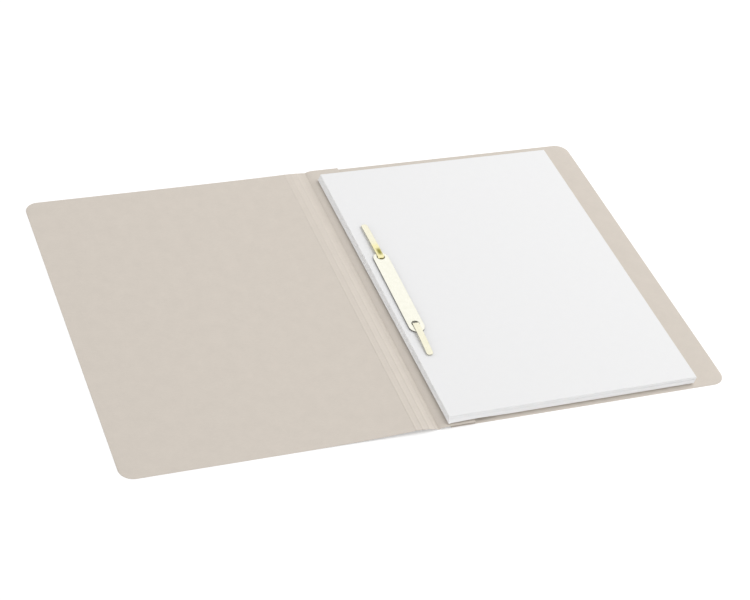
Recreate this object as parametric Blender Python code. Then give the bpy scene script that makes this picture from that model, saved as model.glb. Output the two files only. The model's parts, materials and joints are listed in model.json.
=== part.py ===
"""Fastener folder lying open with its papers.

A scored card folder whose back half is folded in a Z to make a raised filing strip, a two-prong
sheet-metal fastener that stands in the strip, a compressor bar over the prongs, and a stack of
punched A4 sheets held under the bar.

Metres, +Z up. +X runs from the front cover to the back cover and +Y up the page. The origin is
the middle of the opened folder's outline, on the surface that the folder lies on.
"""

import math

import bmesh
import bpy
from mathutils import Vector

# Card blank: front cover, scored spine and back cover, all one height
CARD_T = 0.0003
FOLDER_H = 0.3143
FRONT_W = 0.2229  # last score line to the front cover's outer edge
BACK_W = 0.2460  # hinge fold to the back cover's outer edge
CORNER_R = 0.0110
NARROW_PANEL_W = 0.0025  # hinge fold to the first score line
SPINE_PANEL_W = 0.0053  # between the other score lines
WIDE_PANELS = 3
CREASE_GAP = 0.0003  # slit that stands for the crushed card of a score line
SCORE_CHAMFER = 0.0001

# Filing strip: the card climbs from the hinge fold, runs flat, turns under and comes back
PAPER_INSET = 0.0088  # hinge fold to the sheets' edge, the width that the card climbs in
STRIP_FLAT_W = 0.0210  # sheets' edge to the strip's folded edge
RETURN_W = 0.0195  # folded edge back to the fold of the back cover
CURL_LENGTH = 0.0008  # flat end of the back cover's fold, above the cover
LAYER_GAP = 0.0002  # between neighbouring layers of card, paper and metal

# Sheets: A4, punched with a pair of holes at 80 mm
PAPER_W = 0.2100
PAPER_H = 0.2970
PAPER_FOOT = 0.0042  # folder's lower edge to the sheets' lower edge
STACK_T = 0.0069
STACK_LEAN = 0.0010  # how far the lowest sheet stands out on the spine side
STACK_DROP_W = 0.0300  # width in which the sheets come down from the strip to the back cover
SHEET_T = 0.0001
HOLE_INSET = 0.0120  # sheets' edge to the middle of a hole
HOLE_PITCH = 0.0800
HOLE_MID = 0.1420  # sheets' lower edge to the middle of the pair of holes

# Fastener: one strip of soft metal, its legs standing through the sheets and bent outwards
METAL_T = 0.00045
PRONG_W = 0.0054
HOLE_CLEARANCE = 0.0003  # round a leg, in the sheets and in the strip's slots
BASE_BEND_R = 0.0008  # middle of the metal, where the legs turn up from the base
UPPER_PRONG_L = 0.0426
LOWER_PRONG_L = 0.0365
PRONG_TIP_R = 0.0021
FOLD_GAP = 0.0003  # leg to prong, at the bend

# Compressor bar: a pressed channel with round ends, open underneath
BAR_W = 0.0130
BAR_H = 0.0014
BAR_T = 0.00045
BAR_UPPER_END = 0.0055  # middle of the upper hole to the bar's upper end
BAR_LOWER_END = 0.0092
BAR_HOLE_OUTSET = 0.0008  # a leg stands on the inner side of its hole
BAR_HOLE_CLEARANCE = 0.0006
BAR_EDGE_R = 0.00035
LEAF_CLEARANCE = 0.0015  # bar's side to the line where the top sheet bends up

ARC_STEPS = 10
EDGE_STEPS = 3
HOLE_SIDES = 40
CUT_MARGIN = 0.001  # how far a cutter runs past the faces that it opens
SMOOTH_ANGLE = math.radians(35)

# Linear colour, roughness and metallic value
CARD_LOOK = ((0.65, 0.59, 0.52), 0.85, 0.0)
SHEET_LOOK = ((0.86, 0.86, 0.86), 0.80, 0.0)
METAL_LOOK = ((0.86, 0.74, 0.42), 0.30, 1.0)

# Places across the folder
SPINE_W = NARROW_PANEL_W + WIDE_PANELS * SPINE_PANEL_W
X_HINGE = (FRONT_W + SPINE_W - BACK_W) / 2
X_BACK_EDGE = X_HINGE + BACK_W
X_PAPER = X_HINGE + PAPER_INSET
X_STRIP_EDGE = X_PAPER + STRIP_FLAT_W
X_BACK_FOLD = X_STRIP_EDGE - RETURN_W
X_FASTENER = X_PAPER + HOLE_INSET
X_LEAF_BEND = X_FASTENER + BAR_W / 2 + LEAF_CLEARANCE

# Places up the page
Y_FOOT = -FOLDER_H / 2
Y_HEAD = FOLDER_H / 2
Y_PAPER = Y_FOOT + PAPER_FOOT
Y_FASTENER = Y_PAPER + HOLE_MID

# Levels: the underside of each layer, unless its name says otherwise
Z_RETURN = CARD_T + LAYER_GAP
Z_BASE = Z_RETURN + CARD_T + LAYER_GAP
Z_STRIP = Z_BASE + METAL_T + LAYER_GAP
Z_STRIP_TOP = Z_STRIP + CARD_T
Z_OVER_STRIP = Z_STRIP_TOP + LAYER_GAP
Z_OVER_BACK = CARD_T + LAYER_GAP
Z_STACK_TOP = Z_OVER_BACK + STACK_T
Z_SHEET = Z_STACK_TOP + LAYER_GAP
Z_BAR = Z_SHEET + SHEET_T + LAYER_GAP
Z_BAR_TOP = Z_BAR + BAR_H
Z_BEND = Z_BAR_TOP + LAYER_GAP + METAL_T / 2  # axis that a prong bends about
Z_LEG_TOP = Z_BEND - METAL_T / 2 - FOLD_GAP

# An outline in u and v is swept along w into a solid. Which of the three runs along X, Y and Z:
IN_PLAN = "uvw"  # outline in X and Y, swept upwards
ACROSS = "uwv"  # outline in X and Z, swept up the page
ALONG = "wuv"  # outline in Y and Z, swept across the folder
SAME_PLACE = 1e-6
ROUND_PROFILE = 0.5  # bevel shape that is a circular arc


def arc(centre, radius, start, end):
    """Points on a circle from one angle to another, in degrees."""
    angles = [math.radians(start + (end - start) * i / ARC_STEPS) for i in range(ARC_STEPS + 1)]
    return [(centre[0] + radius * math.cos(a), centre[1] + radius * math.sin(a)) for a in angles]


def circle(radius):
    angles = [2 * math.pi * i / HOLE_SIDES for i in range(HOLE_SIDES)]
    return [(radius * math.cos(a), radius * math.sin(a)) for a in angles]


def rectangle(x0, x1, y0, y1):
    return [(x0, y0), (x1, y0), (x1, y1), (x0, y1)]


def stadium(width, length):
    """Outline with round ends, its length along v."""
    radius = width / 2
    middle = length / 2 - radius
    return arc((0, middle), radius, 0, 180) + arc((0, -middle), radius, 180, 360)


def ease(steps):
    """Smooth rise from 0 to 1, level at both ends."""
    return [(u, u * u * (3 - 2 * u)) for u in (i / steps for i in range(steps + 1))]


def thicken(path, thickness):
    """Closed outline of a sheet whose middle runs along an open path."""
    left = []
    right = []
    for i, point in enumerate(path):
        along = Vector(path[min(i + 1, len(path) - 1)]) - Vector(path[max(i - 1, 0)])
        side = Vector((-along.y, along.x)).normalized() * (thickness / 2)
        left.append(Vector(point) + side)
        right.append(Vector(point) - side)
    return left + right[::-1]


def prism(outline, low, high, axes):
    """Solid made by sweeping a closed outline from low to high."""
    bm = bmesh.new()
    rings = []
    for level in (low, high):
        ring = []
        for u, v in outline:
            run = {"u": u, "v": v, "w": level}
            ring.append(bm.verts.new([run[axis] for axis in axes]))
        bm.faces.new(ring)
        rings.append(ring)
    for i in range(len(outline)):
        j = (i + 1) % len(outline)
        bm.faces.new((rings[0][i], rings[0][j], rings[1][j], rings[1][i]))
    bmesh.ops.recalc_face_normals(bm, faces=bm.faces)
    return bm


def edges_on(bm, axis, place):
    """Edges that lie wholly on the plane where a coordinate has one value."""
    return [e for e in bm.edges if all(abs(v.co[axis] - place) < SAME_PLACE for v in e.verts)]


def round_edges(bm, edges, radius, steps):
    bmesh.ops.bevel(bm, geom=edges, offset=radius, segments=steps, profile=ROUND_PROFILE, affect='EDGES')


def round_corners(bm, axis, place, radius):
    """Round, in plan, the two upright edges at the ends of one side."""
    other = 1 - axis
    sides = edges_on(bm, axis, place)
    uprights = [e for e in sides if abs(e.verts[0].co[other] - e.verts[1].co[other]) < SAME_PLACE]
    round_edges(bm, uprights, radius, ARC_STEPS)


def chamfer_score(bm, x):
    """Chamfer the top edge of a panel where it meets a score line."""
    top = CARD_T / 2
    tops = [e for e in edges_on(bm, 0, x) if all(abs(v.co.z - top) < SAME_PLACE for v in e.verts)]
    bmesh.ops.bevel(bm, geom=tops, offset=SCORE_CHAMFER, segments=1, affect='EDGES')


def place(name, bm, location):
    """Link a mesh built about its own origin into the scene, at a place."""
    mesh = bpy.data.meshes.new(name)
    bm.to_mesh(mesh)
    bm.free()
    made = bpy.data.objects.new(name, mesh)
    made.location = location
    bpy.context.scene.collection.objects.link(made)
    return made


def piece(name, bm, look, location=(0, 0, 0)):
    """Make a sub-part with a finish of its own."""
    made = place(name, bm, location)
    finish = bpy.data.materials.new(name)
    finish.use_nodes = True
    shader = finish.node_tree.nodes["Principled BSDF"]
    colour, roughness, metallic = look
    shader.inputs["Base Color"].default_value = (*colour, 1.0)
    shader.inputs["Roughness"].default_value = roughness
    shader.inputs["Metallic"].default_value = metallic
    made.data.materials.append(finish)
    made.data.shade_smooth()
    made.data.set_sharp_from_angle(angle=SMOOTH_ANGLE)
    return made


def cut(target, name, bm, location):
    """Take a hidden cutter's shape out of a sub-part."""
    cutter = place(name, bm, location)
    cutter.hide_render = True
    cutter.display_type = 'WIRE'
    step = target.modifiers.new(name, 'BOOLEAN')
    step.operation = 'DIFFERENCE'
    step.solver = 'EXACT'
    step.object = cutter


def cut_pair(target, name, outline, low, high, pitch):
    """Cut a like opening at each end of the fastener, upright through the target."""
    for end, sign in (("lower", -1), ("upper", 1)):
        centre = (X_FASTENER, Y_FASTENER + sign * pitch / 2, 0)
        cut(target, f"{name}_{end}", prism(outline, low, high, IN_PLAN), centre)


def make_back_cover():
    """Flat cover, curled over at the spine side to carry the filing strip's return."""
    level = CARD_T / 2
    curl_r = (Z_RETURN - level + CARD_T / 2) / 2
    curl = arc((X_BACK_FOLD, level + curl_r), curl_r, 90, 270)
    path = [(X_BACK_FOLD + CURL_LENGTH, Z_RETURN + CARD_T / 2)] + curl + [(X_BACK_EDGE, level)]
    bm = prism(thicken(path, CARD_T), Y_FOOT, Y_HEAD, ACROSS)
    round_corners(bm, 0, X_BACK_EDGE, CORNER_R)
    piece("back_cover", bm, CARD_LOOK)


def make_filing_strip():
    """Card that climbs from the hinge fold, lies under the sheets and turns back under itself."""
    start = X_HINGE + CREASE_GAP / 2
    low = CARD_T / 2
    high = Z_STRIP + CARD_T / 2
    climb = []
    for i in range(ARC_STEPS):
        u = i / ARC_STEPS
        climb.append((start + (X_PAPER - start) * u, low + (high - low) * math.sin(u * math.pi / 2)))
    back = Z_RETURN + CARD_T / 2
    turn_r = (high - back) / 2
    turn = arc((X_STRIP_EDGE - CARD_T / 2 - turn_r, back + turn_r), turn_r, 90, -90)
    end = (X_BACK_FOLD + CURL_LENGTH + CREASE_GAP, back)
    path = climb + [(X_PAPER, high)] + turn + [end]
    strip = piece("filing_strip", prism(thicken(path, CARD_T), Y_FOOT, Y_HEAD, ACROSS), CARD_LOOK)
    half_w = PRONG_W / 2 + HOLE_CLEARANCE
    half_t = METAL_T / 2 + HOLE_CLEARANCE
    slot = rectangle(-half_w, half_w, -half_t, half_t)
    cut_pair(strip, "strip_slot", slot, Z_STRIP - LAYER_GAP / 2, Z_STRIP_TOP + CUT_MARGIN, HOLE_PITCH)


def make_front():
    """Scored spine panels and the front cover, each hung on the score line at its right."""
    level = CARD_T / 2
    x = X_HINGE
    slit = CREASE_GAP / 2
    for number, width in enumerate([NARROW_PANEL_W] + [SPINE_PANEL_W] * WIDE_PANELS, 1):
        bm = prism(rectangle(slit - width, -slit, Y_FOOT, Y_HEAD), -level, level, IN_PLAN)
        chamfer_score(bm, -slit)
        chamfer_score(bm, slit - width)
        piece(f"spine_panel_{number}", bm, CARD_LOOK, (x, 0, level))
        x -= width
    bm = prism(rectangle(-FRONT_W, -slit, Y_FOOT, Y_HEAD), -level, level, IN_PLAN)
    chamfer_score(bm, -slit)
    round_corners(bm, 0, -FRONT_W, CORNER_R)
    piece("front_cover", bm, CARD_LOOK, (x, 0, level))


def make_sheets():
    """Punched stack that drapes off the strip, and its top sheet, split where it bends up."""
    hole = circle(PRONG_W / 2 + HOLE_CLEARANCE)
    drop_start = X_STRIP_EDGE + LAYER_GAP
    lowest = X_PAPER - STACK_LEAN
    fall = Z_OVER_STRIP - Z_OVER_BACK
    under = [(drop_start + STACK_DROP_W * u, Z_OVER_STRIP - fall * v) for u, v in ease(ARC_STEPS)]
    outline = [(lowest, Z_OVER_STRIP)] + under + [(lowest + PAPER_W, Z_OVER_BACK)]
    outline += [(X_PAPER + PAPER_W, Z_STACK_TOP), (X_PAPER, Z_STACK_TOP)]
    stack = piece("paper_stack", prism(outline, Y_PAPER, Y_PAPER + PAPER_H, ACROSS), SHEET_LOOK)
    cut_pair(stack, "stack_hole", hole, 0, Z_STACK_TOP + CUT_MARGIN, HOLE_PITCH)

    slit = CREASE_GAP / 2
    margin_plan = rectangle(X_PAPER, X_LEAF_BEND - slit, Y_PAPER, Y_PAPER + PAPER_H)
    margin = piece("top_sheet_margin", prism(margin_plan, Z_SHEET, Z_SHEET + SHEET_T, IN_PLAN), SHEET_LOOK)
    cut_pair(margin, "margin_hole", hole, Z_STACK_TOP, Z_SHEET + CUT_MARGIN, HOLE_PITCH)

    level = SHEET_T / 2
    leaf_plan = rectangle(slit, X_PAPER + PAPER_W - X_LEAF_BEND, Y_PAPER, Y_PAPER + PAPER_H)
    leaf = prism(leaf_plan, -level, level, IN_PLAN)
    piece("top_sheet_leaf", leaf, SHEET_LOOK, (X_LEAF_BEND, 0, Z_SHEET + level))


def make_fastener():
    """Base with its two legs, bent up from one strip, and the prongs bent over above the bar."""
    half = HOLE_PITCH / 2
    level = Z_BASE + METAL_T / 2
    low_bend = arc((BASE_BEND_R - half, level + BASE_BEND_R), BASE_BEND_R, 180, 270)
    high_bend = arc((half - BASE_BEND_R, level + BASE_BEND_R), BASE_BEND_R, 270, 360)
    path = [(-half, Z_LEG_TOP)] + low_bend + high_bend + [(half, Z_LEG_TOP)]
    base = prism(thicken(path, METAL_T), -PRONG_W / 2, PRONG_W / 2, ALONG)
    piece("fastener_base", base, METAL_LOOK, (X_FASTENER, Y_FASTENER, 0))

    for name, sign, length in (("prong_upper", 1, UPPER_PRONG_L), ("prong_lower", -1, LOWER_PRONG_L)):
        root = arc((0, 0), METAL_T / 2, 90, 270)
        side = [(sign * y, z) for y, z in root + [(length, -METAL_T / 2), (length, METAL_T / 2)]]
        bm = prism(side, -PRONG_W / 2, PRONG_W / 2, ALONG)
        round_corners(bm, 1, sign * length, PRONG_TIP_R)
        piece(name, bm, METAL_LOOK, (X_FASTENER, Y_FASTENER + sign * half, Z_BEND))


def make_compressor():
    """Pressed bar with a turned-down rim, threaded over the legs and held by the bent prongs."""
    hole_pitch = HOLE_PITCH + 2 * BAR_HOLE_OUTSET
    length = hole_pitch + BAR_UPPER_END + BAR_LOWER_END
    middle = Y_FASTENER + (BAR_UPPER_END - BAR_LOWER_END) / 2
    bm = prism(stadium(BAR_W, length), 0, BAR_H, IN_PLAN)
    rim = edges_on(bm, 2, BAR_H)
    round_edges(bm, rim, BAR_EDGE_R, EDGE_STEPS)
    bar = piece("compressor_bar", bm, METAL_LOOK, (X_FASTENER, middle, Z_BAR))
    hollow = stadium(BAR_W - 2 * BAR_T, length - 2 * BAR_T)
    cut(bar, "bar_hollow", prism(hollow, -CUT_MARGIN, BAR_H - BAR_T, IN_PLAN), bar.location)
    hole = circle(PRONG_W / 2 + BAR_HOLE_CLEARANCE)
    cut_pair(bar, "bar_hole", hole, Z_BAR, Z_BAR_TOP + CUT_MARGIN, hole_pitch)


for old in list(bpy.data.objects):
    bpy.data.objects.remove(old)

make_back_cover()
make_filing_strip()
make_front()
make_sheets()
make_fastener()
make_compressor()
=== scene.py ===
import json
import math
import random

import bmesh
import bpy
from mathutils import Matrix, Vector


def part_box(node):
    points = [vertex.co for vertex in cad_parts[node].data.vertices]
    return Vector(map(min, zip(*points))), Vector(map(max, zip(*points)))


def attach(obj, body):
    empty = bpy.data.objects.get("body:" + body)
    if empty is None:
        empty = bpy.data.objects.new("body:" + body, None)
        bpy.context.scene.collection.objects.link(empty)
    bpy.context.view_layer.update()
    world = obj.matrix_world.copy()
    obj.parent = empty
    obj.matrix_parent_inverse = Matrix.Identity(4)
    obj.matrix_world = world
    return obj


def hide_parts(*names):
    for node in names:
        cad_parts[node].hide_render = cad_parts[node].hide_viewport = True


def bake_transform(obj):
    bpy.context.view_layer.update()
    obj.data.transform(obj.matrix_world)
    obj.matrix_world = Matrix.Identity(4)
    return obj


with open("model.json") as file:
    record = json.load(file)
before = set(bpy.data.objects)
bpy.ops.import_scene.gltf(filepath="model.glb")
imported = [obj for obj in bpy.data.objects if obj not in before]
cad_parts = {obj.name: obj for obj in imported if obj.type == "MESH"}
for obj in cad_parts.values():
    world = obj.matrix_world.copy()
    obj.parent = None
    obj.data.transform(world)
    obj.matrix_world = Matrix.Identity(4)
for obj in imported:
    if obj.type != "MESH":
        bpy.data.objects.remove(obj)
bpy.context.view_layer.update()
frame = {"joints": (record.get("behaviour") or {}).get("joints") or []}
joint_at = {joint["name"]: Vector(joint["pos_m"]) for joint in frame["joints"]}


# Card of the folder
# One blank of grey-beige pulp card, about 0.3 mm thick, makes both covers, the spine and the strip.
# It is die cut, so its edges show the paler core, and its surface is matt with a faint fibre.
cover_low, cover_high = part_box("front_cover")
CARD_T = cover_high.z - cover_low.z
CARD_CORNER_R = 0.011
CARD_COLOUR = (0.670, 0.611, 0.545)
CARD_SHADES = (0.955, 1.045)  # darkest and palest clouds, as shares of the colour
CARD_MATT = (0.80, 0.92)  # roughness in those clouds
CARD_CORE = (0.700, 0.645, 0.580)
CORE_SHARE = 0.7  # how far the core's colour covers a cut edge
FLECK_COLOUR = (0.450, 0.385, 0.320)
FLECK_FROM = 0.93  # only the strongest strands show as flecks
FLECK_SHARE = 0.30
PAINTED_SPINE_HIGHLIGHT = (1.075, 1.075, 1.075)  # painted highlight: the scored spine is drawn paler where its panels tilt toward the lamp
PRESSED_GLOSS = 0.22  # the card that the press has smoothed is also this much less rough


def connect(tree, node, sockets):
    """Give a node's sockets a value each, or a link from another node's output."""
    for key, value in sockets.items():
        if isinstance(value, bpy.types.NodeSocket):
            tree.links.new(value, node.inputs[key])
        else:
            node.inputs[key].default_value = value


def add(tree, kind, sockets=None, **settings):
    """Place a node with its settings and its sockets."""
    made = tree.nodes.new("ShaderNode" + kind)
    for name, value in settings.items():
        setattr(made, name, value)
    connect(tree, made, sockets or {})
    return made


def calc(tree, operation, *values):
    """One step of arithmetic on values."""
    return add(tree, "Math", dict(enumerate(values)), operation=operation).outputs[0]


def blend_colour(tree, share, first, second, way="MIX"):
    """Colour between two others, or one laid over the other in some way."""
    sockets = {0: share, 6: first, 7: second}
    return add(tree, "Mix", sockets, data_type="RGBA", blend_type=way).outputs[2]


def stretch(tree, value, low, high, to_low=0.0, to_high=1.0):
    """Map a span of values onto another, held at its ends."""
    sockets = {"Value": value, "From Min": low, "From Max": high, "To Min": to_low, "To Max": to_high}
    return add(tree, "MapRange", sockets, clamp=True).outputs[0]


def shaded(tree, tone, colour, shares):
    """Colour that a tone carries from its darker to its paler shade."""
    dark, pale = [tuple(share * c for c in colour) + (1.0,) for share in shares]
    return blend_colour(tree, tone, dark, pale)


def vertex_value(tree, name):
    """Value that the mesh keeps under a name at its vertices."""
    return add(tree, "Attribute", attribute_name=name).outputs["Fac"]


def bump(tree, height, strength, distance):
    """Normal of a surface with this height on it."""
    sockets = {"Height": height, "Strength": strength, "Distance": distance}
    return add(tree, "Bump", sockets).outputs[0]


def new_group(name, inputs, outputs):
    """Empty shader group with its named sockets, and its two ends."""
    tree = bpy.data.node_groups.new(name, "ShaderNodeTree")
    for label, kind in inputs:
        tree.interface.new_socket(label, in_out="INPUT", socket_type="NodeSocket" + kind)
    for label in outputs:
        tree.interface.new_socket(label, in_out="OUTPUT", socket_type="NodeSocketFloat")
    return tree, tree.nodes.new("NodeGroupInput"), tree.nodes.new("NodeGroupOutput")


def new_finish(name):
    """Material with its shader, and the place on the surface, in metres, from the mesh's own map."""
    material = bpy.data.materials.new(name)
    material.use_nodes = True
    tree = material.node_tree
    place = add(tree, "UVMap", uv_map="surface").outputs[0]
    return material, tree, tree.nodes["Principled BSDF"], place


# Scales are in features per metre
CLOUD_SCALE = 85.0
GRAIN_SCALE = 5200.0
STRAND_SCALE = (260.0, 1900.0, 1.0)  # along and across a strand
STRAND_TURNS = (15, 75, 135)
STRAND_SPAN = (0.50, 0.82)  # noise at the edge and in the middle of a strand
STRAND_RISE = 0.6  # height of a strand against that of the grain
CLOUD_SHARE, STRAND_SHARE, GRAIN_SHARE = 0.55, 0.28, 0.17  # of the tone
TONE_SPAN = (0.25, 0.75)  # tone in the darkest and palest clouds


def pulp_group():
    """Pulp fibre as it shows in card and paper: clouds, felted strands and fine grain."""
    tree, start, end = new_group(
        "pulp",
        [("Place", "Vector"), ("Fineness", "Float")],
        ["Tone", "Strands", "Height"],
    )
    sized = {0: start.outputs["Place"], "Scale": start.outputs["Fineness"]}
    place = add(tree, "VectorMath", sized, operation="SCALE").outputs[0]
    cloud = add(tree, "TexNoise", {"Vector": place, "Scale": CLOUD_SCALE, "Detail": 5.0,
                                   "Roughness": 0.62}).outputs[0]
    grain = add(tree, "TexNoise", {"Vector": place, "Scale": GRAIN_SCALE, "Detail": 2.0}).outputs[0]
    strands = 0.0
    for turn in STRAND_TURNS:
        laid = add(tree, "Mapping", {"Vector": place, "Rotation": (0, 0, math.radians(turn)),
                                     "Scale": STRAND_SCALE})
        strand = add(tree, "TexNoise", {"Vector": laid.outputs[0], "Scale": 1.0, "Detail": 2.0,
                                        "Distortion": 0.6})
        strands = calc(tree, "MAXIMUM", strand.outputs[0], strands)
    strands = stretch(tree, strands, *STRAND_SPAN)
    tone = calc(tree, "MULTIPLY", cloud, CLOUD_SHARE)
    tone = calc(tree, "MULTIPLY_ADD", strands, STRAND_SHARE, tone)
    tone = calc(tree, "MULTIPLY_ADD", grain, GRAIN_SHARE, tone)
    height = calc(tree, "MULTIPLY_ADD", strands, STRAND_RISE, grain)
    connect(tree, end, {"Tone": tone, "Strands": strands, "Height": height})
    return tree


pulp = pulp_group()


def card_finish():
    """Matt card: pale and dark clouds, dark flecks, smoother score lines with a painted highlight, and a
    paler cut edge.
    """
    material, tree, shader, place = new_finish("card")
    fibre = add(tree, "Group", {"Place": place, "Fineness": 1.0}, node_tree=pulp)
    tone = stretch(tree, fibre.outputs["Tone"], *TONE_SPAN)
    colour = shaded(tree, tone, CARD_COLOUR, CARD_SHADES)
    fleck = stretch(tree, fibre.outputs["Strands"], FLECK_FROM, 1.0, 0.0, FLECK_SHARE)
    colour = blend_colour(tree, fleck, colour, (*FLECK_COLOUR, 1.0))
    # painted highlight: the scored spine is drawn paler where its panels tilt toward the lamp; the
    # press's smoothing is only in the roughness
    burnished_and_lit = vertex_value(tree, "burnished_and_lit")
    colour = blend_colour(tree, burnished_and_lit, colour, (*PAINTED_SPINE_HIGHLIGHT, 1.0), "MULTIPLY")
    core = calc(tree, "MULTIPLY", vertex_value(tree, "edge"), CORE_SHARE)
    colour = blend_colour(tree, core, colour, (*CARD_CORE, 1.0))
    matt = stretch(tree, fibre.outputs["Tone"], *TONE_SPAN, *CARD_MATT)
    matt = calc(tree, "SUBTRACT", matt, calc(tree, "MULTIPLY", burnished_and_lit, PRESSED_GLOSS))
    connect(tree, shader, {
        "Base Color": colour,
        "Roughness": matt,
        "Normal": bump(tree, fibre.outputs["Height"], strength=0.35, distance=0.00003),
        "Specular IOR Level": 0.30,
    })
    return material


card = card_finish()

RIM_R = 0.00008  # how far in the cut edge of a sheet is rounded off
RIM_FLAT = 0.4  # share of the thickness that stays upright at the very edge
RIM_STEPS = (0.0, 0.25 * RIM_R, RIM_R, 2.5 * RIM_R)
CORNER_STEPS = 9
CORNER_FROM = 1.2 * RIM_STEPS[-1]  # a corner's own steps start this far in
NO_EDGE = 1.0  # distance that stands for no cut edge at all
SHEET_SHARP = math.radians(50)


def edge_distance(across, along, corner):
    """How far a point is inside an outline with round corners."""
    if across < corner and along < corner:
        return corner - math.hypot(corner - across, corner - along)
    return min(across, along)


def corner_trim(across, corner):
    """How much a round corner takes off a sheet's length, this far in from its edge."""
    if across >= corner:
        return 0.0
    return corner - math.sqrt(max(0.0, corner ** 2 - (corner - across) ** 2))


def edge_places(corner):
    """Steps in from a free edge: over its rounded rim, then round the corner."""
    turn = [corner * (1 - math.cos(math.pi / 2 * i / CORNER_STEPS)) for i in range(1, CORNER_STEPS + 1)]
    return list(RIM_STEPS) + [step for step in turn if step > CORNER_FROM]


def spread(start, end, count):
    """Evenly spaced places after the start, up to the end."""
    return [start + (end - start) * i / count for i in range(1, count + 1)]


def heading(line, i):
    """Direction of a line at one of its points."""
    ahead, behind = line[min(i + 1, len(line) - 1)], line[max(i - 1, 0)]
    return Vector((ahead[0] - behind[0], ahead[1] - behind[1])).normalized()


def new_mesh():
    """Empty mesh with a map of its surface."""
    bm = bmesh.new()
    bm.loops.layers.uv.new("surface")
    return bm


def place_mesh(name, bm):
    """Put a finished mesh into the scene."""
    mesh = bpy.data.meshes.new(name)
    bm.to_mesh(mesh)
    bm.free()
    made = bpy.data.objects.new(name, mesh)
    bpy.context.scene.collection.objects.link(made)
    return made


def finish_mesh(name, bm, where, sharp=None):
    """Turn the faces outwards, map each vertex to its place, and put the mesh into the scene.

    Edges sharper than the given angle stay hard and the rest is smooth. With no angle, every
    face is flat."""
    surface = bm.loops.layers.uv["surface"]
    bmesh.ops.recalc_face_normals(bm, faces=bm.faces)
    for face in bm.faces:
        face.smooth = sharp is not None
        for loop in face.loops:
            loop[surface].uv = where[loop.vert]
    made = place_mesh(name, bm)
    if sharp is not None:
        made.data.set_sharp_from_angle(angle=sharp)
    return made


def make_sheet(name, line, low, high, thickness, rows, free=(None, None), corner=0.0,
               run=None, burnished_and_lit=None, rise=None):
    """Closed thin sheet along an (x, z) line and straight up the page, with rounded cut edges.

    free holds the x of each end of the line that is a cut edge, run the distances along the
    sheet for its map, burnished_and_lit how far each place on the line is smoothed by the press
    and painted paler as a highlight, and rise how far the sheet stands up at an x and a y."""
    bm = new_mesh()
    edge_layer = bm.verts.layers.float.new("edge")
    burnished_and_lit_layer = bm.verts.layers.float.new("burnished_and_lit")
    top, under = [], []
    where = {}
    for i, (x, z) in enumerate(line):
        along = heading(line, i)
        across = min([abs(x - end) for end in free if end is not None], default=NO_EDGE)
        trim = corner_trim(across, corner)
        foot, head = low + trim, high - trim
        ys = [foot + step for step in RIM_STEPS]
        ys += spread(foot + RIM_STEPS[-1], head - RIM_STEPS[-1], rows)
        ys += [head - step for step in RIM_STEPS[-2::-1]]
        for side, columns in ((1, top), (-1, under)):
            column = []
            for y in ys:
                inside = edge_distance(across, min(y - low, high - y), corner)
                rim = 1 - min(1.0, max(0.0, inside) / RIM_R)
                half = thickness / 2 * (RIM_FLAT + (1 - RIM_FLAT) * math.sqrt(1 - rim * rim))
                level = z + rise(x, y) if rise else z
                vert = bm.verts.new((x - side * half * along.y, y, level + side * half * along.x))
                vert[edge_layer] = rim
                vert[burnished_and_lit_layer] = burnished_and_lit[i] if burnished_and_lit else 0.0
                where[vert] = (run[i] if run else x, y)
                column.append(vert)
            columns.append(column)
    last_row = len(top[0]) - 1
    for i in range(len(line) - 1):
        for j in range(last_row):
            bm.faces.new((top[i][j], top[i + 1][j], top[i + 1][j + 1], top[i][j + 1]))
            bm.faces.new((under[i][j], under[i][j + 1], under[i + 1][j + 1], under[i + 1][j]))
        bm.faces.new((top[i][0], under[i][0], under[i + 1][0], top[i + 1][0]))
        bm.faces.new((top[i][last_row], top[i + 1][last_row], under[i + 1][last_row], under[i][last_row]))
    for j in range(last_row):
        bm.faces.new((top[0][j], top[0][j + 1], under[0][j + 1], under[0][j]))
        bm.faces.new((top[-1][j], under[-1][j], under[-1][j + 1], top[-1][j + 1]))
    return finish_mesh(name, bm, where, SHEET_SHARP)


def cut_through(piece, cutters):
    """Cut openings clean through a piece, and drop the cutters."""
    for cutter in cutters:
        step = piece.modifiers.new("opening", "BOOLEAN")
        step.operation = "DIFFERENCE"
        step.solver = "EXACT"
        step.object = cutter
    bpy.context.view_layer.update()
    shaped = piece.evaluated_get(bpy.context.evaluated_depsgraph_get())
    piece.data = bpy.data.meshes.new_from_object(shaped)
    piece.modifiers.clear()
    for cutter in cutters:
        bpy.data.objects.remove(cutter)


def dress(piece, material, slot, *nodes):
    """Give a piece its finish, and hide the solids that it stands for."""
    piece.data.materials.clear()
    piece.data.materials.append(material)
    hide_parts(*nodes)


# Creases
# The spine's score lines are pressed from outside, so each stands up inside as a low bead.
# The springy card stays a little lifted from the hinge fold to the last score line and beyond it.
BEAD_H = 0.00029
BEAD_REACH = 0.00120
CREASE_STEP = 0.00015
CREASE_STEPS = 8
COVER_SETTLE = 0.125  # width in which the front cover comes down to the table
SETTLE_POWER = 3  # how much steeper it comes down at first
SPINE_LIFT = (0.0, 0.00075, 0.00200, 0.00255, 0.00270)  # at the hinge fold and each score line
HEAD_LIFT = 0.30  # share of the lift that is left at the head, where the card lies flatter
SPINE_BURNISH_AND_HIGHLIGHT = (0.0, 0.2, 0.7, 0.4, 0.1)  # how far the press has smoothed the card there, and how much painted highlight it gets where the panels tilt toward the lamp
CARD_ROWS = 14
crease_x = [joint_at[name].x for name in ("hinge_fold", "score_1", "score_2", "score_3", "score_4")]
hinge_x = crease_x[0]
score_x = crease_x[1:]
panel_middle = [(left + right) / 2 for right, left in zip(crease_x, crease_x[1:])]


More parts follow.
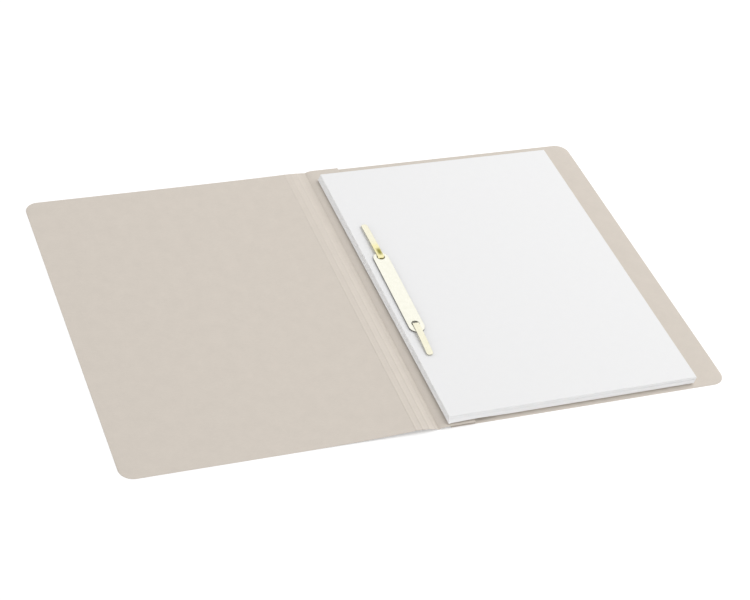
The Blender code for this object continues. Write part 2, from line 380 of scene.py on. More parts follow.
def bead(x):
    """Share of a score line's bead that stands at a place across the spine."""
    off = min(abs(x - score) for score in score_x)
    return 0.5 + 0.5 * math.cos(math.pi * min(1.0, off / BEAD_REACH))


def across_spine(values, x):
    """Value at a place across the spine, from values at the hinge fold and each score line."""
    for right, left, first, second in zip(crease_x, crease_x[1:], values, values[1:]):
        if left <= x <= right:
            return first + (second - first) * (right - x) / (right - left)
    return 0.0


def card_lift(x, y):
    """How far the springy card stands off the table, from the front cover to the hinge fold."""
    if x > hinge_x:
        return 0.0
    lift = across_spine(SPINE_LIFT, x)
    if x < score_x[-1]:
        lift = SPINE_LIFT[-1] * max(0.0, 1 - (score_x[-1] - x) / COVER_SETTLE) ** SETTLE_POWER
    up_page = (y - cover_low.y) / (cover_high.y - cover_low.y)
    return (lift + BEAD_H * bead(x)) * (1 - (1 - HEAD_LIFT) * up_page)


def crease_places(x):
    """Closely spaced places on both sides of a crease, from left to right."""
    return [x + CREASE_STEP * i for i in range(-CREASE_STEPS, CREASE_STEPS + 1)]


def scored_card(name, xs, **extra):
    """Sheet of the scored part of the card, through these places from left to right."""
    line = [(x, CARD_T / 2) for x in xs]
    # the press's smoothing, and a painted highlight where the spine's panels tilt toward the lamp
    burnish_and_highlight = [across_spine(SPINE_BURNISH_AND_HIGHLIGHT, x) for x in xs]
    return make_sheet(name, line, cover_low.y, cover_high.y, CARD_T, CARD_ROWS,
                      burnished_and_lit=burnish_and_highlight, rise=card_lift, **extra)


# Filing strip
# Right of the hinge fold the card climbs on to the strip that carries the sheets, turns under at
# its right edge and comes back, which leaves a pocket for the fastener's base.
strip_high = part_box("filing_strip")[1]
paper_low, paper_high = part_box("top_sheet_margin")
base_low, base_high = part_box("fastener_base")
back_low, back_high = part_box("back_cover")
LAYER_GAP = 0.0002  # between neighbouring layers of card, paper and metal
STRIP_LEVEL = strip_high.z - CARD_T / 2
RETURN_LEVEL = CARD_T + LAYER_GAP + CARD_T / 2
CURL_W = 0.0011  # from the back cover's folded edge to where its curl goes over into the return
RETURN_END = back_low.x + CURL_W
CLIMB_OVERRUN = 0.0045  # the climb ends this far in under the sheets, which overhang it
CLIMB_POWER = 5  # how much steeper it is at the hinge fold
CLIMB_STEPS = 16
STRIP_STEPS = 6
RETURN_STEPS = 4
TURN_STEPS = 12
METAL_T = 0.00045
SLOT_SPARE = 0.0003  # round a leg of the fastener, which stands in a slot
SKEW = math.radians(-0.8)  # how far the fastener and its holes stand out of square
legs = [joint_at[name] for name in ("upper_prong_bend", "lower_prong_bend")]
metal_x = (base_high.x + base_low.x) / 2
held_y = (legs[0].y + legs[1].y) / 2


def askew(x, y):
    """Turn a place by the skew of the fastener, about its middle."""
    out, up = x - metal_x, y - held_y
    return (metal_x + out * math.cos(SKEW) - up * math.sin(SKEW),
            held_y + out * math.sin(SKEW) + up * math.cos(SKEW))


def arc(x, z, radius, start, end, steps):
    """Points on a round bend from one angle to another, in degrees."""
    angles = [math.radians(start + (end - start) * i / steps) for i in range(steps + 1)]
    return [(x + radius * math.cos(a), z + radius * math.sin(a)) for a in angles]


def run_along(line, start):
    """Distance along a line at each of its points."""
    run = [start]
    for (x0, z0), (x1, z1) in zip(line, line[1:]):
        run.append(run[-1] + math.hypot(x1 - x0, z1 - z0))
    return run


def slot_cutter(leg):
    """Upright cutter for the slot that a leg stands in."""
    half_t = METAL_T / 2 + SLOT_SPARE
    low = (base_low.x - SLOT_SPARE, leg.y - half_t, STRIP_LEVEL - CARD_T)
    high = (base_high.x + SLOT_SPARE, leg.y + half_t, STRIP_LEVEL + CARD_T)
    bm = bmesh.new()
    bmesh.ops.create_cube(bm, size=1.0)
    for vert in bm.verts:
        x, y, z = [lo if c < 0 else hi for c, lo, hi in zip(vert.co, low, high)]
        vert.co = (*askew(x, y), z)
    return place_mesh("slot_cutter", bm)


def make_filing_strip():
    """Card from the middle of the narrow panel, over the hinge fold, up and round the strip."""
    line = [(x, CARD_T / 2) for x in [panel_middle[0]] + crease_places(hinge_x)[:CREASE_STEPS]]
    climb_w = paper_low.x + CLIMB_OVERRUN - hinge_x
    shares = [CREASE_STEP * i / climb_w for i in range(CREASE_STEPS)]
    shares += spread(shares[-1], 1.0, CLIMB_STEPS)
    for share in shares:
        climb = 1 - (1 - share) ** CLIMB_POWER
        line.append((hinge_x + climb_w * share, CARD_T / 2 + (STRIP_LEVEL - CARD_T / 2) * climb))
    turn_r = (STRIP_LEVEL - RETURN_LEVEL) / 2
    turn_x = strip_high.x - CARD_T / 2 - turn_r
    line += [(x, STRIP_LEVEL) for x in spread(line[-1][0], turn_x, STRIP_STEPS)[:-1]]
    line += arc(turn_x, RETURN_LEVEL + turn_r, turn_r, 90, -90, TURN_STEPS)
    line += [(x, RETURN_LEVEL) for x in spread(turn_x, RETURN_END, RETURN_STEPS)]
    strip = make_sheet("filing_strip_card", line, cover_low.y, cover_high.y, CARD_T, CARD_ROWS,
                       run=run_along(line, line[0][0]), rise=card_lift)
    cut_through(strip, [slot_cutter(leg) for leg in legs])
    dress(strip, card, "card", "filing_strip", "spine_panel_1")
    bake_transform(strip)


make_filing_strip()


# Back cover
# The same card folds again at the end of the strip's return and lies flat under the sheets.
# Its outer corners are die cut round.
BACK_STEPS = 24
BACK_ROWS = 20


def make_back_cover():
    """Curl at the end of the strip's return, then the flat cover to its right edge."""
    curl_r = (RETURN_LEVEL - CARD_T / 2) / 2
    curl_x = back_low.x + CARD_T / 2 + curl_r
    line = [(RETURN_END, RETURN_LEVEL)]
    line += arc(curl_x, CARD_T / 2 + curl_r, curl_r, 90, 270, TURN_STEPS)
    rim = [back_high.x - step for step in edge_places(CARD_CORNER_R)[::-1]]
    line += [(x, CARD_T / 2) for x in spread(curl_x, rim[0], BACK_STEPS)[:-1] + rim]
    cover = make_sheet("back_cover_card", line, back_low.y, back_high.y, CARD_T, BACK_ROWS,
                       free=(None, back_high.x), corner=CARD_CORNER_R)
    dress(cover, card, "card", "back_cover")
    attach(cover, "back")


make_back_cover()


# Scored spine
# Four score lines let the spine square up to the thickness of the papers. Each length of card
# here runs from the middle of one panel to the middle of the next, across its score line.
for number in (1, 2, 3):
    score = score_x[number - 1]
    xs = [panel_middle[number]] + crease_places(score) + [panel_middle[number - 1]]
    spine = scored_card(f"spine_fold_{number}", xs)
    dress(spine, card, "card", f"spine_panel_{number}", f"spine_panel_{number + 1}")
    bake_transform(spine)


# Front cover
# The widest flap of the blank, with die-cut round corners. It hangs on the last score line, and
# its sheet takes in the near half of the last panel.
COVER_STEPS = 26


def make_front_cover():
    """Cover from its round corners, over the last score line, to the middle of the last panel."""
    score = score_x[-1]
    rim = [cover_low.x + step for step in edge_places(CARD_CORNER_R)]
    folds = crease_places(score)
    xs = rim + spread(rim[-1], folds[0], COVER_STEPS)[:-1] + folds + [panel_middle[-1]]
    cover = scored_card("front_cover_card", xs, free=(cover_low.x, None), corner=CARD_CORNER_R)
    dress(cover, card, "card", "front_cover", "spine_panel_4")
    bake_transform(cover)


make_front_cover()


# Fastener
# One strip of brass-plated soft steel. Its base lies in the strip's pocket, its legs stand through
# the card and the sheets, and its prongs are bent outwards by hand over the compressor bar.
PRONG_COLOUR = (0.968, 0.935, 0.752)
# painted reflection: a richer yellow band at the upper prong's bend and a dark patch past it; the dark
# colour also serves for handling smudges
PAINTED_YELLOW_REFLECTION = (0.985, 0.915, 0.520)
DARK_SMUDGE_AND_REFLECTION = (0.340, 0.310, 0.070)
# partly real, partly painted shade: cut edges show bare steel, and this dark colour also paints the shade
# on the metal's side walls
BARE_STEEL_AND_SHADE = (0.220, 0.215, 0.200)
STREAK_SCALE = (60.0, 6000.0, 1.0)  # rolling marks per metre, along and across the strip
STREAK_SPAN = (0.30, 0.70)  # noise between and on the rolling marks
SMUDGE_SCALE = 260.0
SMUDGE_SPAN = (0.35, 0.70)  # noise on clean metal and on a smudge
METAL_SATIN = (0.20, 0.32)  # roughness between and on the rolling marks
SMUDGE_DARK = 0.06  # how far a smudge darkens the plating
SMUDGE_MATT = 0.06  # and how much rougher it is
TOP_FACE = 0.02  # where the upper face of a strip lies across its map
REFLECTION_PLACE = 0.0068  # from the bend to the middle of the painted reflection on the upper prong
REFLECTION_REACH = 0.0075
REFLECTION_ACROSS = TOP_FACE + 0.0007  # its middle line lies a little to the right of the prong's own
REFLECTION_SIDES = (0.0008, 0.0026)  # from its middle line to where it starts and ends to fade
YELLOW_REFLECTION_FULL = 0.35  # strength of the painted reflection where its yellow band shows in full
DARK_REFLECTION_SPAN = (0.60, 0.95)  # and where its painted dark reflection starts, and where it is full


def rolled_group():
    """Rolling marks along a drawn strip of metal, and soft smudges from handling."""
    tree, start, end = new_group("rolled", [("Place", "Vector")], ["Streak", "Smudge"])
    place = start.outputs["Place"]
    drawn = add(tree, "Mapping", {"Vector": place, "Scale": STREAK_SCALE})
    streak = add(tree, "TexNoise", {"Vector": drawn.outputs[0], "Scale": 1.0, "Detail": 3.0})
    smudge = add(tree, "TexNoise", {"Vector": place, "Scale": SMUDGE_SCALE, "Detail": 4.0})
    connect(tree, end, {
        "Streak": stretch(tree, streak.outputs[0], *STREAK_SPAN),
        "Smudge": stretch(tree, smudge.outputs[0], *SMUDGE_SPAN),
    })
    return tree


rolled = rolled_group()


def metal_finish(name, plating):
    """Pale brass plating, satin from rolling, smudged, with a painted reflection near a bend and bare cut
    edges darkened as painted shade.
    """
    material, tree, shader, place = new_finish(name)
    marks = add(tree, "Group", {"Place": place}, node_tree=rolled)
    dull = calc(tree, "MULTIPLY", marks.outputs["Smudge"], SMUDGE_DARK)
    colour = blend_colour(tree, dull, (*plating, 1.0), (*DARK_SMUDGE_AND_REFLECTION, 1.0))
    # painted reflection: yellow band and dark patch where the upper prong bends over
    reflection_mark = vertex_value(tree, "reflection_mark")
    colour = blend_colour(tree, stretch(tree, reflection_mark, 0.0, YELLOW_REFLECTION_FULL), colour, (*PAINTED_YELLOW_REFLECTION, 1.0))
    across = add(tree, "SeparateXYZ", {0: place}).outputs[1]
    beside = calc(tree, "ABSOLUTE", calc(tree, "SUBTRACT", across, REFLECTION_ACROSS))
    dark_reflection = calc(tree, "MULTIPLY", stretch(tree, reflection_mark, *DARK_REFLECTION_SPAN),
                  stretch(tree, beside, *REFLECTION_SIDES, 1.0, 0.0))
    colour = blend_colour(tree, dark_reflection, colour, (*DARK_SMUDGE_AND_REFLECTION, 1.0))
    colour = blend_colour(tree, vertex_value(tree, "bare_and_shaded"), colour, (*BARE_STEEL_AND_SHADE, 1.0))
    rough = stretch(tree, marks.outputs["Streak"], 0.0, 1.0, *METAL_SATIN)
    rough = calc(tree, "MULTIPLY_ADD", marks.outputs["Smudge"], SMUDGE_MATT, rough)
    connect(tree, shader, {
        "Base Color": colour,
        "Roughness": rough,
        "Normal": bump(tree, marks.outputs["Streak"], strength=0.12, distance=0.00001),
        "Metallic": 1.0,
    })
    return material


prong_metal = metal_finish("prong_metal", PRONG_COLOUR)

BASE_BEND_R = 0.0008
PRONG_BEND_R = 0.0014
PRONG_TIP_R = 0.0021
METAL_EDGE_R = 0.0001
EDGE_STEPS = 2
METAL_SHARP = math.radians(30)
PRONG_DIP = {"upper": 0.0006, "lower": 0.0011}  # how far a prong's tip is pressed down past the bar
EVEN_DIP = 0.4  # share of the dip that grows evenly, while the rest is nearer the tip
PRONG_SWAY = {"upper": -0.0004, "lower": -0.0006}  # how far a tip strays sideways, bent by hand
BEND_STEPS = 10
PRONG_STEPS = 40
TIP_STEPS = 8
bar_low, bar_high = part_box("compressor_bar")
metal_w = base_high.x - base_low.x


def join_rings(bm, rings):
    """Faces from each ring of vertices to the next."""
    for first, second in zip(rings, rings[1:]):
        count = len(first)
        for k in range(count):
            bm.faces.new((first[k], first[(k + 1) % count], second[(k + 1) % count], second[k]))


def swept_strip(name, line, halves, sideways, reflection_mark):
    """Strip of metal along a (y, z) line, with rounded edges.

    halves gives its half width, sideways how far it strays, and reflection_mark how much painted
    reflection it carries, at each point."""
    bm = new_mesh()
    reflection_mark_layer = bm.verts.layers.float.new("reflection_mark")
    bare_and_shaded_layer = bm.verts.layers.float.new("bare_and_shaded")
    where = {}
    rings = []
    run = run_along(line, 0.0)
    for i, (y, z) in enumerate(line):
        along = heading(line, i)
        ring = []
        for quarter, (x_sign, out_sign) in enumerate(((1, 1), (-1, 1), (-1, -1), (1, -1))):
            for step in range(EDGE_STEPS + 1):
                angle = math.radians(90 * quarter + 90 * step / EDGE_STEPS)
                x = x_sign * (halves[i] - METAL_EDGE_R) + METAL_EDGE_R * math.cos(angle)
                out = out_sign * (METAL_T / 2 - METAL_EDGE_R) + METAL_EDGE_R * math.sin(angle)
                turned = askew(metal_x + sideways[i] + x, y - out * along.y)
                vert = bm.verts.new((*turned, z + out * along.x))
                vert[reflection_mark_layer] = reflection_mark[i]
                # painted shade: the strip's side edges and its tip end are bare steel drawn dark as the
                # shade on them
                vert[bare_and_shaded_layer] = abs(math.cos(angle)) ** 2 if i < len(line) - 1 else 1.0
                where[vert] = (run[i], x + TOP_FACE * (out > 0))
                ring.append(vert)
        rings.append(ring)
    join_rings(bm, rings)
    bm.faces.new(rings[0])
    bm.faces.new(rings[-1])
    return finish_mesh(name, bm, where, METAL_SHARP)


def make_prong(side, sign):
    """Half of the base, one leg and its prong, as one bent strip."""
    bend = joint_at[f"{side}_prong_bend"]
    prong_low, prong_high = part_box(f"prong_{side}")
    tip = prong_high.y if sign > 0 else prong_low.y
    bar_end = bar_high.y if sign > 0 else bar_low.y
    reach, on_bar = abs(tip - bend.y), abs(bar_end - bend.y)
    base_z = base_low.z + METAL_T / 2
    foot = arc(bend.y - BASE_BEND_R, base_z + BASE_BEND_R, BASE_BEND_R, 270, 360, BEND_STEPS)
    over = arc(bend.y + PRONG_BEND_R, bend.z - PRONG_BEND_R, PRONG_BEND_R, 180, 90, BEND_STEPS)
    steps = spread(PRONG_BEND_R, reach - PRONG_TIP_R, PRONG_STEPS)
    for i in range(1, TIP_STEPS + 1):
        steps.append(reach - PRONG_TIP_R * (1 - math.sin(math.pi / 2 * i / TIP_STEPS)))
    upwards = foot + over
    for step in steps:
        past = max(0.0, step - on_bar) / (reach - on_bar)
        dip = PRONG_DIP[side] * past * (EVEN_DIP + (1 - EVEN_DIP) * past)
        upwards.append((bend.y + step, bend.z - dip))
    line = [(held_y, base_z)] + [(bend.y + sign * (y - bend.y), z) for y, z in upwards]
    halves, sideways, reflection_mark = [], [], []
    for y, _ in line:
        out = sign * (y - bend.y)
        short = max(0.0, PRONG_TIP_R - (reach - out))
        halves.append(metal_w / 2 - PRONG_TIP_R + math.sqrt(max(0.0, PRONG_TIP_R ** 2 - short ** 2)))
        sideways.append(PRONG_SWAY[side] * max(0.0, out) / reach)
        # painted reflection: only the upper prong carries the yellow band and dark patch past its bend
        reflection_mark.append(math.exp(-(((out - REFLECTION_PLACE) / REFLECTION_REACH) ** 2)) if side == "upper" else 0.0)
    prong = swept_strip(f"fastener_{side}", line, halves, sideways, reflection_mark)
    dress(prong, prong_metal, "fastener_metal", f"prong_{side}", "fastener_base")
    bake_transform(prong)


make_prong("upper", 1)
make_prong("lower", -1)


# Paper stack
# Some sixty punched sheets of white office paper, knocked up square but not perfectly, which lie
# over the strip and settle on to the back cover beyond it.
PAPER_COLOUR = (0.855, 0.855, 0.858)
PAPER_SHADES = (0.988, 1.010)
PAPER_MATT = (0.84, 0.94)
# painted light: the cut edges are paler than the faces, so that the stack's sides read as lit
LIT_PAPER_EDGE = (0.955, 0.955, 0.957)


def paper_finish():
    """White office paper: faint fibre on the faces, and each sheet's cut edge a shade of its own, painted
    paler than the faces as light on the stack's sides.
    """
    material, tree, shader, place = new_finish("paper")
    fibre = add(tree, "Group", {"Place": place, "Fineness": 1.6}, node_tree=pulp)
    tone = stretch(tree, fibre.outputs["Tone"], *TONE_SPAN)
    colour = shaded(tree, tone, PAPER_COLOUR, PAPER_SHADES)
    colour = blend_colour(tree, vertex_value(tree, "edge"), colour, (*LIT_PAPER_EDGE, 1.0))
    connect(tree, shader, {
        "Base Color": colour,
        "Roughness": stretch(tree, fibre.outputs["Tone"], *TONE_SPAN, *PAPER_MATT),
        "Normal": bump(tree, fibre.outputs["Height"], strength=0.20, distance=0.00002),
        "Specular IOR Level": 0.25,
    })
    return material


paper = paper_finish()

SHEETS = 66
STACK_SEED = 11
SHEET_FACES = (0.06, 0.94)  # its lower and upper face, as shares of the room that a sheet has
SHEET_SLIP = 0.00005  # how far a sheet strays by chance, in metres
SHEET_TURN = 0.0002  # and turns, in radians
EDGE_TONE = (0.70, 0.25)  # middle and spread of the shades of the cut edges
FOOT_LEAN = 0.0013  # how far the lower sheets stand out, at the foot and at the left
SIDE_LEAN = 0.0019
LEAN_POWER = 1.4  # how much more of the lean lies in the lower sheets
STACK_TURN = 0.005  # how far round the lowest sheets lie from the uppermost, in radians
SIDE_TUCKED = 9  # how many of the lowest sheets are drawn in at the left, and how far
SIDE_TUCK = 0.0028
FOOT_TUCKED = 10  # the same at the foot
FOOT_TUCK = 0.0016
CORNER_TUCKED = 9  # the same at the foot near its left corner
CORNER_TUCK = 0.0034
CORNER_FAN = 0.0018  # how far the lower sheets are fanned out at that corner
CORNER_REACH = 0.045
DROP_W = 0.030  # width in which the sheets come down from the strip to the back cover
DROP_STEPS = 12
FLAT_STEPS = 6
STACK_GAP = 0.00002  # between the stack and the top sheet
EDGE_MAP = (0.3, 0.02)  # moves the stack's map off the top sheet's, and spreads it up the edges
HOLE_R = 0.0030
HOLE_SIDES = 48
CUTTER_H = 0.02  # from the table to well above the sheets
stack_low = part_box("paper_stack")[0]
paper_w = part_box("top_sheet_leaf")[1].x - paper_low.x
strip_reach = strip_high.x - paper_low.x
over_strip = strip_high.z + LAYER_GAP
over_back = stack_low.z


def stack_under(x):
    """Height of the stack's underside: over the strip, then easing down to the back cover."""
    share = min(1.0, max(0.0, (x - strip_high.x) / DROP_W))
    return over_strip + (over_back - over_strip) * share * share * (3 - 2 * share)


def hole_cutter(leg):
    """Upright round cutter for the hole that a leg stands in."""
    bm = bmesh.new()
    at = Matrix.Translation((*askew(metal_x, leg.y), CUTTER_H / 2))
    bmesh.ops.create_cone(bm, cap_ends=True, segments=HOLE_SIDES, radius1=HOLE_R, radius2=HOLE_R,
                          depth=CUTTER_H, matrix=at)
    return place_mesh("hole_cutter", bm)


def make_stack():
    """Block of sheets built edge by edge: every sheet has its own slip, turn and tone."""
    draw = random.Random(STACK_SEED)
    bm = new_mesh()
    edge_layer = bm.verts.layers.float.new("edge")
    where = {}
    xs = [0.0, strip_reach / 2] + spread(strip_reach, strip_reach + DROP_W, DROP_STEPS)
    xs += spread(strip_reach + DROP_W, paper_w, FLAT_STEPS)
    outline = [(x, 0.0) for x in xs] + [(x, 1.0) for x in xs[::-1]]
    top = paper_low.z - STACK_GAP
    depth = paper_high.y - paper_low.y
    rings = []
    for sheet in range(SHEETS):
        slip = (draw.gauss(0, SHEET_SLIP), draw.gauss(0, SHEET_SLIP))
        turn = draw.gauss(0, SHEET_TURN)
        tone = min(1.0, max(0.0, draw.gauss(*EDGE_TONE)))
        lean = (1 - sheet / (SHEETS - 1)) ** LEAN_POWER
        turn += STACK_TURN * lean
        for face in SHEET_FACES:
            level = (sheet + face) / SHEETS
            ring = []
            for x, end in outline:
                under = stack_under(paper_low.x + x)
                along = paper_low.y - FOOT_LEAN * lean + depth * end + slip[1]
                across = paper_low.x - SIDE_LEAN * lean + x + slip[0] - turn * (along - held_y)
                along += turn * (paper_low.x + x - metal_x)
                if end == 0.0:
                    near = max(0.0, 1 - x / CORNER_REACH)
                    tucked = FOOT_TUCKED + (CORNER_TUCKED - FOOT_TUCKED) * near
                    tuck = FOOT_TUCK + (CORNER_TUCK - FOOT_TUCK) * near
                    along += tuck * min(1.0, max(0.0, tucked - sheet))
                    along -= CORNER_FAN * lean * near
                if sheet < SIDE_TUCKED and x == 0.0:
                    across += SIDE_TUCK
                vert = bm.verts.new((across, along, under + (top - under) * level))
                vert[edge_layer] = tone
                where[vert] = (across + EDGE_MAP[0], along + EDGE_MAP[1] * level)
                ring.append(vert)
            rings.append(ring)
    join_rings(bm, rings)
    count = len(outline)
    for ring in (rings[0], rings[-1]):
        for k in range(count // 2 - 1):
            bm.faces.new((ring[k], ring[k + 1], ring[count - 2 - k], ring[count - 1 - k]))
    stack = finish_mesh("paper_stack_sheets", bm, where)
    cut_through(stack, [hole_cutter(leg) for leg in legs])
    dress(stack, paper, "sheets", "paper_stack")
    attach(stack, "back")


make_stack()


# Top sheet
# The uppermost page, held with the rest at its punched margin. Its sheet has close steps about
# the line just right of the compressor bar, where the real page bends up.
LEAF_REACH = 0.0014  # the page bends over this distance on each side of the line
LEAF_STEPS = 6
MARGIN_STEPS = 4
PAGE_STEPS = 14
PAGE_ROWS = 16
leaf_bend = joint_at["leaf_turn"]


def make_top_sheet():
    """Whole page, from its left edge over the bend line to its right edge, with its two holes."""
    left, right = paper_low.x, paper_low.x + paper_w
    level = (paper_low.z + paper_high.z) / 2
    thickness = paper_high.z - paper_low.z
    rim = list(RIM_STEPS)
    bends = [leaf_bend.x + LEAF_REACH * i / LEAF_STEPS for i in range(-LEAF_STEPS, LEAF_STEPS + 1)]
    xs = [left + step for step in rim] + spread(left + rim[-1], bends[0], MARGIN_STEPS)[:-1] + bends
    xs += spread(bends[-1], right - rim[-1], PAGE_STEPS) + [right - step for step in rim[-2::-1]]
    line = [(x, level) for x in xs]
    page = make_sheet("top_sheet", line, paper_low.y, paper_high.y, thickness, PAGE_ROWS,
                      free=(left, right))
    cut_through(page, [hole_cutter(leg) for leg in legs])
    dress(page, paper, "sheets", "top_sheet_margin", "top_sheet_leaf")
    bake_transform(page)


make_top_sheet()


# Compressor bar
# Pressed from thin plated sheet: round ends, turned-down rim, and a round hole near each end that
# goes over a leg. The bent prongs hold it down on the sheets.
BAR_COLOUR = (0.998, 0.985, 0.872)
BAR_T = 0.00045
BAR_EDGE_R = 0.00045
BAR_LIP = 0.00012  # radius of a hole's rounded lip
BAR_SUPPORT = 0.00006  # flat ring that holds the shading next to a rounded edge
BAR_HOLE_R = 0.0033
BAR_HOLE_OUTSET = 0.0008  # a leg stands on the inner side of its hole
BAR_SHARP = math.radians(40)
SHOULDER_STEPS = 6
LIP_STEPS = 3
END_STEPS = 28
bar_metal = metal_finish("bar_metal", BAR_COLOUR)


def quarter_round(radius, steps):
    """Points of a rounded edge, in from its side and down from its top, from the side upwards."""
    angles = [math.radians(90 * i / steps) for i in range(steps + 1)]
    return [(radius * (1 - math.cos(a)), radius * (1 - math.sin(a))) for a in angles]


def make_bar():
    """Channel as one closed shell: its rim, its top and its ceiling, with two holes through them."""
    bm = new_mesh()
    bare_and_shaded_layer = bm.verts.layers.float.new("bare_and_shaded")
    middle_y = (bar_low.y + bar_high.y) / 2
    half_w = (bar_high.x - bar_low.x) / 2
    end_y = (bar_high.y - bar_low.y) / 2 - half_w
    low, high = bar_low.z, bar_high.z

    def ring_of(points, z):
        """Vertices at these places and this height."""
        return [bm.verts.new((*askew(x, y), z)) for x, y in points]

    def stadium(inset):
        """Outline of the bar with its round ends, this far in from its edge."""
        radius = half_w - inset
        points = []
        for sign, start in ((1, 0), (-1, 180)):
            for i in range(END_STEPS + 1):
                angle = math.radians(start + 180 * i / END_STEPS)
                points.append((metal_x + radius * math.cos(angle),
                               middle_y + sign * end_y + radius * math.sin(angle)))
        return points

    def round_hole(y, radius):
        """Outline of a hole."""
        angles = [2 * math.pi * i / HOLE_SIDES for i in range(HOLE_SIDES)]
        return [(metal_x + radius * math.cos(a), y + radius * math.sin(a)) for a in angles]

    def loop_edges(ring):
        """Edges all the way round a ring."""
        return [bm.edges.get((ring[k], ring[(k + 1) % len(ring)])) for k in range(len(ring))]

    profile = [(BAR_T, high - BAR_T), (BAR_T, low), (0.0, low)]
    profile += [(inset, high - down) for inset, down in quarter_round(BAR_EDGE_R, SHOULDER_STEPS)]
    profile.append((BAR_EDGE_R + BAR_SUPPORT, high))
    shell = [ring_of(stadium(inset), z) for inset, z in profile]
    join_rings(bm, shell)
    for vert in shell[2] + shell[3]:  # the rim's outer side: bare steel, drawn darker as painted shade
        vert[bare_and_shaded_layer] = 1.0
    tops, ceilings = [shell[-1]], [shell[0]]
    for leg, sign in zip(legs, (1, -1)):
        y = leg.y + sign * BAR_HOLE_OUTSET
        lip = [(BAR_LIP + BAR_SUPPORT, 0.0)]
        lip += [(out, down) for down, out in quarter_round(BAR_LIP, LIP_STEPS)]
        lip.append((0.0, BAR_T))
        rings = [ring_of(round_hole(y, BAR_HOLE_R + out), high - down) for out, down in lip]
        join_rings(bm, rings)
        tops.append(rings[0])
        ceilings.append(rings[-1])
    for rings in (tops, ceilings):
        edges = [edge for ring in rings for edge in loop_edges(ring)]
        bmesh.ops.triangle_fill(bm, use_beauty=True, use_dissolve=False, edges=edges)
    where = {vert: (vert.co.y, vert.co.x) for vert in bm.verts}
    bar = finish_mesh("compressor_bar_metal", bm, where, BAR_SHARP)
    dress(bar, bar_metal, "fastener_metal", "compressor_bar")
    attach(bar, "back")


make_bar()


# Studio
# White table, one broad soft lamp on the right, and a white surrounding that is brightest near the
# horizon. The table is seen as white and keeps the folder's shadow.
FLOOR_HALF = 6.0
FLOOR_COLOUR = (0.86, 0.86, 0.86, 1.0)
FLOOR_GLOW = 0.26
FAR_GLOW = 0.62  # where the lamp's light has fallen off
FAR_FROM, FAR_TO = 0.6, 3.0


def seen_directly(tree):
    """1 for rays from the camera, in a mirror or through glass, and 0 for light on its way."""
    path = add(tree, "LightPath")
    seen = calc(tree, "MAXIMUM", path.outputs["Is Camera Ray"], path.outputs["Is Glossy Ray"])
    return calc(tree, "MAXIMUM", seen, path.outputs["Is Transmission Ray"])


def make_floor():
    """Wide flat table, whose glow for the eye alone makes up what it lacks to white."""
    bm = bmesh.new()
    bmesh.ops.create_grid(bm, x_segments=1, y_segments=1, size=FLOOR_HALF)
    floor = place_mesh("floor", bm)
    material = bpy.data.materials.new("floor")
    material.use_nodes = True
    tree = material.node_tree
    tree.nodes.clear()
    white = add(tree, "BsdfDiffuse", {"Color": FLOOR_COLOUR})
    place = add(tree, "TexCoord").outputs["Object"]
    far = add(tree, "VectorMath", {0: place}, operation="LENGTH").outputs["Value"]
    strength = stretch(tree, far, FAR_FROM, FAR_TO, FLOOR_GLOW, FAR_GLOW)
    glow = add(tree, "Emission", {"Strength": calc(tree, "MULTIPLY", seen_directly(tree), strength)})
    both = add(tree, "AddShader", {0: white.outputs[0], 1: glow.outputs[0]})
    add(tree, "OutputMaterial", {"Surface": both.outputs[0]})
    floor.data.materials.append(material)


make_floor()

HORIZON_FILL = 1.44
ZENITH_FILL = 0.30


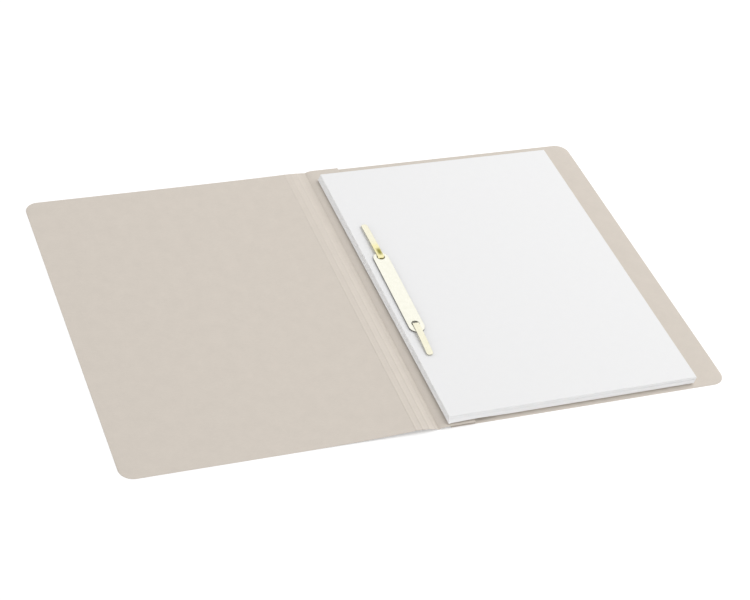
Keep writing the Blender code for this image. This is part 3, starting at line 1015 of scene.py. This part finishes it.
def make_world():
    """Surroundings that are plain white to the eye and give the fill light."""
    world = bpy.data.worlds.new("studio")
    world.use_nodes = True
    tree = world.node_tree
    up = add(tree, "SeparateXYZ", {0: add(tree, "TexCoord").outputs["Generated"]}).outputs[2]
    fill = stretch(tree, up, 0.0, 1.0, HORIZON_FILL, ZENITH_FILL)
    strength = add(tree, "Mix", {0: seen_directly(tree), 2: fill, 3: 1.0}).outputs[0]
    connect(tree, tree.nodes["Background"], {"Color": (1.0, 1.0, 1.0, 1.0), "Strength": strength})
    bpy.context.scene.world = world


make_world()

KEY_AZIMUTH = 12.0
KEY_ELEVATION = 52.0
KEY_DISTANCE = 2.6
KEY_SIZE = 1.9
KEY_POWER = 33.0


def direction(azimuth, elevation):
    """Unit vector at an azimuth from +X towards +Y and an elevation, in degrees."""
    a, e = math.radians(azimuth), math.radians(elevation)
    return Vector((math.cos(a) * math.cos(e), math.sin(a) * math.cos(e), math.sin(e)))


def make_key():
    """Broad lamp that faces the folder and leaves no image of itself in the metal."""
    lamp = bpy.data.lights.new("key", "AREA")
    lamp.shape = "SQUARE"
    lamp.size = KEY_SIZE
    lamp.energy = KEY_POWER
    key = bpy.data.objects.new("key", lamp)
    back = direction(KEY_AZIMUTH, KEY_ELEVATION)
    key.location = back * KEY_DISTANCE
    key.rotation_euler = back.to_track_quat("Z", "Y").to_euler()
    key.visible_glossy = False
    bpy.context.scene.collection.objects.link(key)


make_key()

VIEW_AZIMUTH = -26.95  # from the view straight up the page
VIEW_ELEVATION = 40.24
VIEW_ROLL = 10.44
VIEW_AIM = Vector((0.00065, -0.00994, 0.0003))
VIEW_DISTANCE = 1.5312
VIEW_LENS = 92.7
SENSOR_W = 36.0


def make_camera():
    """Camera at the photograph's viewing angle."""
    lens = bpy.data.cameras.new("camera")
    lens.lens = VIEW_LENS
    lens.sensor_width = SENSOR_W
    camera = bpy.data.objects.new("camera", lens)
    back = direction(VIEW_AZIMUTH - 90, VIEW_ELEVATION)
    turned = back.to_track_quat("Z", "Y").to_matrix() @ Matrix.Rotation(math.radians(VIEW_ROLL), 3, "Z")
    camera.matrix_world = Matrix.Translation(VIEW_AIM + back * VIEW_DISTANCE) @ turned.to_4x4()
    bpy.context.scene.collection.objects.link(camera)
    bpy.context.scene.camera = camera


make_camera()
bpy.context.scene.view_settings.view_transform = "Standard"
